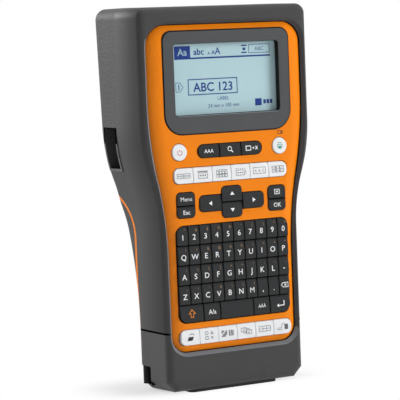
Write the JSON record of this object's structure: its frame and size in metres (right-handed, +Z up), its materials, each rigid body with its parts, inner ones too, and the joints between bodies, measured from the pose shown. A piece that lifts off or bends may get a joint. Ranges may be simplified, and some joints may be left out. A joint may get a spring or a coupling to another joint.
{
  "type": "label maker",
  "caption": "Hand-held label maker with a narrow grip, a wide head, a recessed screen over a full keyboard, a tape exit in its left side and a hinged rear cover.",
  "frame": {"origin": "centre of the bounding box at its lowest level, where the foot pad meets the table", "axes": "+Z up along the casing; -Y out of the screen and keys, so +Y is the rear; +X to the right as the keys are read"},
  "size_m": [0.122, 0.0622, 0.24],
  "materials": {
    "casing": "fine texture",
    "orange": "satin",
    "bezel": "fine texture",
    "window": "clear",
    "display": "smooth",
    "dark_key": "satin",
    "white_key": "satin",
    "membrane": "matte",
    "circuit_board": "smooth",
    "cell_jacket": "printed sleeve",
    "steel": "satin",
    "heat_sink": "satin",
    "gear_plastic": "satin",
    "rubber": "matte",
    "cassette": "satin",
    "tape": "satin",
    "ribbon": "smooth"
  },
  "bodies": {
    "casing": {"front_case": "casing", "rear_case": "casing", "bottom_cap": "casing", "foot_pad": "rubber", "inner_frame": "orange", "face_plate": "orange", "screen_bezel": "bezel", "screen_window": "window", "lcd_panel": "display", "key_membrane": "membrane", "main_board": "circuit_board", "battery_cells": "cell_jacket", "battery_contacts": "steel", "case_screws": "steel", "print_head": "heat_sink", "feed_motor": "steel", "fixed_blade": "steel", "cassette_shell": "cassette"},
    "rear_cover": {"rear_cover": "casing"},
    "cover_latch": {"cover_latch": "casing"},
    "motor_pinion": {"motor_pinion": "gear_plastic"},
    "tape_spool": {"tape_spool": "tape"},
    "ribbon_spool": {"ribbon_spool": "ribbon"},
    "cutter_blade": {"cutter_blade": "steel"},
    "number_keys": {"number_keys": "dark_key"},
    "top_letter_keys": {"top_letter_keys": "dark_key"},
    "middle_letter_keys": {"middle_letter_keys": "dark_key"},
    "bottom_letter_keys": {"bottom_letter_keys": "dark_key"},
    "shift_key": {"shift_key": "dark_key"},
    "caps_key": {"caps_key": "dark_key"},
    "space_key": {"space_key": "dark_key"},
    "accent_key": {"accent_key": "dark_key"},
    "enter_key": {"enter_key": "dark_key"},
    "upper_quick_key_1": {"upper_quick_key_1": "white_key"},
    "upper_quick_key_2": {"upper_quick_key_2": "white_key"},
    "upper_quick_key_3": {"upper_quick_key_3": "white_key"},
    "upper_quick_key_4": {"upper_quick_key_4": "white_key"},
    "upper_quick_key_5": {"upper_quick_key_5": "white_key"},
    "upper_quick_key_6": {"upper_quick_key_6": "white_key"},
    "lower_quick_key_1": {"lower_quick_key_1": "white_key"},
    "lower_quick_key_2": {"lower_quick_key_2": "white_key"},
    "lower_quick_key_3": {"lower_quick_key_3": "white_key"},
    "lower_quick_key_4": {"lower_quick_key_4": "white_key"},
    "lower_quick_key_5": {"lower_quick_key_5": "white_key"},
    "lower_quick_key_6": {"lower_quick_key_6": "white_key"},
    "left_function_key": {"left_function_key": "dark_key"},
    "middle_function_key": {"middle_function_key": "dark_key"},
    "right_function_key": {"right_function_key": "dark_key"},
    "power_key": {"power_key": "white_key"},
    "print_key": {"print_key": "white_key"},
    "menu_key": {"menu_key": "dark_key"},
    "escape_key": {"escape_key": "dark_key"},
    "preview_key": {"preview_key": "dark_key"},
    "ok_key": {"ok_key": "dark_key"},
    "up_key": {"up_key": "dark_key"},
    "down_key": {"down_key": "dark_key"},
    "left_key": {"left_key": "dark_key"},
    "right_key": {"right_key": "dark_key"},
    "platen": {"platen_shaft": "steel", "platen_roller": "rubber"}
  },
  "joints": [
    {"name": "rear_cover_hinge", "type": "hinge", "parent": "casing", "child": "rear_cover", "pos_m": [0, 0.00675, 0.0302], "axis": [-1, 0, 0], "range_deg": [0, 75]},
    {"name": "cover_latch_slide", "type": "slide", "parent": "rear_cover", "child": "cover_latch", "axis": [0, -0.0491, -0.9988], "range_m": [0, 0.003], "stiffness_N_per_m": 400},
    {"name": "tape_spool_spin", "type": "hinge", "parent": "casing", "child": "tape_spool", "pos_m": [0.026, 0.0086, 0.15275], "axis": [0, 0, 1], "continuous": true},
    {"name": "ribbon_spool_spin", "type": "hinge", "parent": "casing", "child": "ribbon_spool", "pos_m": [-0.008, 0.0086, 0.15275], "axis": [0, 0, 1], "continuous": true},
    {"name": "platen_spin", "type": "hinge", "parent": "casing", "child": "platen", "pos_m": [-0.038, 0.01815, 0.15275], "axis": [0, 0, 1], "continuous": true},
    {"name": "motor_spin", "type": "hinge", "parent": "casing", "child": "motor_pinion", "pos_m": [-0.02947, 0.01323, 0.15275], "axis": [0, 0, 1], "continuous": true},
    {"name": "cutter_swing", "type": "hinge", "parent": "casing", "child": "cutter_blade", "pos_m": [-0.0479, 0.01685, 0.13805], "axis": [1, 0, 0], "range_deg": [0, 14]},
    {"name": "number_keys_press", "type": "slide", "parent": "casing", "child": "number_keys", "axis": [0, 1, 0], "range_m": [0, 0.0008], "stiffness_N_per_m": 1500},
    {"name": "top_letter_keys_press", "type": "slide", "parent": "casing", "child": "top_letter_keys", "axis": [0, 1, 0], "range_m": [0, 0.0008], "stiffness_N_per_m": 1500},
    {"name": "middle_letter_keys_press", "type": "slide", "parent": "casing", "child": "middle_letter_keys", "axis": [0, 1, 0], "range_m": [0, 0.0008], "stiffness_N_per_m": 1500},
    {"name": "bottom_letter_keys_press", "type": "slide", "parent": "casing", "child": "bottom_letter_keys", "axis": [0, 1, 0], "range_m": [0, 0.0008], "stiffness_N_per_m": 1500},
    {"name": "shift_key_press", "type": "slide", "parent": "casing", "child": "shift_key", "axis": [0, 1, 0], "range_m": [0, 0.0008], "stiffness_N_per_m": 1500},
    {"name": "caps_key_press", "type": "slide", "parent": "casing", "child": "caps_key", "axis": [0, 1, 0], "range_m": [0, 0.0008], "stiffness_N_per_m": 1500},
    {"name": "space_key_press", "type": "slide", "parent": "casing", "child": "space_key", "axis": [0, 1, 0], "range_m": [0, 0.0008], "stiffness_N_per_m": 1500},
    {"name": "accent_key_press", "type": "slide", "parent": "casing", "child": "accent_key", "axis": [0, 1, 0], "range_m": [0, 0.0008], "stiffness_N_per_m": 1500},
    {"name": "enter_key_press", "type": "slide", "parent": "casing", "child": "enter_key", "axis": [0, 1, 0], "range_m": [0, 0.0008], "stiffness_N_per_m": 1500},
    {"name": "upper_quick_key_1_press", "type": "slide", "parent": "casing", "child": "upper_quick_key_1", "axis": [0, 1, 0], "range_m": [0, 0.0008], "stiffness_N_per_m": 1500},
    {"name": "upper_quick_key_2_press", "type": "slide", "parent": "casing", "child": "upper_quick_key_2", "axis": [0, 1, 0], "range_m": [0, 0.0008], "stiffness_N_per_m": 1500},
    {"name": "upper_quick_key_3_press", "type": "slide", "parent": "casing", "child": "upper_quick_key_3", "axis": [0, 1, 0], "range_m": [0, 0.0008], "stiffness_N_per_m": 1500},
    {"name": "upper_quick_key_4_press", "type": "slide", "parent": "casing", "child": "upper_quick_key_4", "axis": [0, 1, 0], "range_m": [0, 0.0008], "stiffness_N_per_m": 1500},
    {"name": "upper_quick_key_5_press", "type": "slide", "parent": "casing", "child": "upper_quick_key_5", "axis": [0, 1, 0], "range_m": [0, 0.0008], "stiffness_N_per_m": 1500},
    {"name": "upper_quick_key_6_press", "type": "slide", "parent": "casing", "child": "upper_quick_key_6", "axis": [0, 1, 0], "range_m": [0, 0.0008], "stiffness_N_per_m": 1500},
    {"name": "lower_quick_key_1_press", "type": "slide", "parent": "casing", "child": "lower_quick_key_1", "axis": [0, 1, 0], "range_m": [0, 0.0008], "stiffness_N_per_m": 1500},
    {"name": "lower_quick_key_2_press", "type": "slide", "parent": "casing", "child": "lower_quick_key_2", "axis": [0, 1, 0], "range_m": [0, 0.0008], "stiffness_N_per_m": 1500},
    {"name": "lower_quick_key_3_press", "type": "slide", "parent": "casing", "child": "lower_quick_key_3", "axis": [0, 1, 0], "range_m": [0, 0.0008], "stiffness_N_per_m": 1500},
    {"name": "lower_quick_key_4_press", "type": "slide", "parent": "casing", "child": "lower_quick_key_4", "axis": [0, 1, 0], "range_m": [0, 0.0008], "stiffness_N_per_m": 1500},
    {"name": "lower_quick_key_5_press", "type": "slide", "parent": "casing", "child": "lower_quick_key_5", "axis": [0, 1, 0], "range_m": [0, 0.0008], "stiffness_N_per_m": 1500},
    {"name": "lower_quick_key_6_press", "type": "slide", "parent": "casing", "child": "lower_quick_key_6", "axis": [0, 1, 0], "range_m": [0, 0.0008], "stiffness_N_per_m": 1500},
    {"name": "left_function_key_press", "type": "slide", "parent": "casing", "child": "left_function_key", "axis": [0, 1, 0], "range_m": [0, 0.0008], "stiffness_N_per_m": 1500},
    {"name": "middle_function_key_press", "type": "slide", "parent": "casing", "child": "middle_function_key", "axis": [0, 1, 0], "range_m": [0, 0.0008], "stiffness_N_per_m": 1500},
    {"name": "right_function_key_press", "type": "slide", "parent": "casing", "child": "right_function_key", "axis": [0, 1, 0], "range_m": [0, 0.0008], "stiffness_N_per_m": 1500},
    {"name": "power_key_press", "type": "slide", "parent": "casing", "child": "power_key", "axis": [0, 1, 0], "range_m": [0, 0.0008], "stiffness_N_per_m": 1500},
    {"name": "print_key_press", "type": "slide", "parent": "casing", "child": "print_key", "axis": [0, 1, 0], "range_m": [0, 0.0008], "stiffness_N_per_m": 1500},
    {"name": "menu_key_press", "type": "slide", "parent": "casing", "child": "menu_key", "axis": [0, 1, 0], "range_m": [0, 0.0008], "stiffness_N_per_m": 1500},
    {"name": "escape_key_press", "type": "slide", "parent": "casing", "child": "escape_key", "axis": [0, 1, 0], "range_m": [0, 0.0008], "stiffness_N_per_m": 1500},
    {"name": "preview_key_press", "type": "slide", "parent": "casing", "child": "preview_key", "axis": [0, 1, 0], "range_m": [0, 0.0008], "stiffness_N_per_m": 1500},
    {"name": "ok_key_press", "type": "slide", "parent": "casing", "child": "ok_key", "axis": [0, 1, 0], "range_m": [0, 0.0008], "stiffness_N_per_m": 1500},
    {"name": "up_key_press", "type": "slide", "parent": "casing", "child": "up_key", "axis": [0, 1, 0], "range_m": [0, 0.0008], "stiffness_N_per_m": 1500},
    {"name": "down_key_press", "type": "slide", "parent": "casing", "child": "down_key", "axis": [0, 1, 0], "range_m": [0, 0.0008], "stiffness_N_per_m": 1500},
    {"name": "left_key_press", "type": "slide", "parent": "casing", "child": "left_key", "axis": [0, 1, 0], "range_m": [0, 0.0008], "stiffness_N_per_m": 1500},
    {"name": "right_key_press", "type": "slide", "parent": "casing", "child": "right_key", "axis": [0, 1, 0], "range_m": [0, 0.0008], "stiffness_N_per_m": 1500}
  ],
  "couplings": [
    {"joint": "platen_spin", "follows": "tape_spool_spin", "ratio": -2.3},
    {"joint": "motor_spin", "follows": "tape_spool_spin", "ratio": 3.22},
    {"joint": "ribbon_spool_spin", "follows": "tape_spool_spin", "ratio": 1.5333}
  ]
}
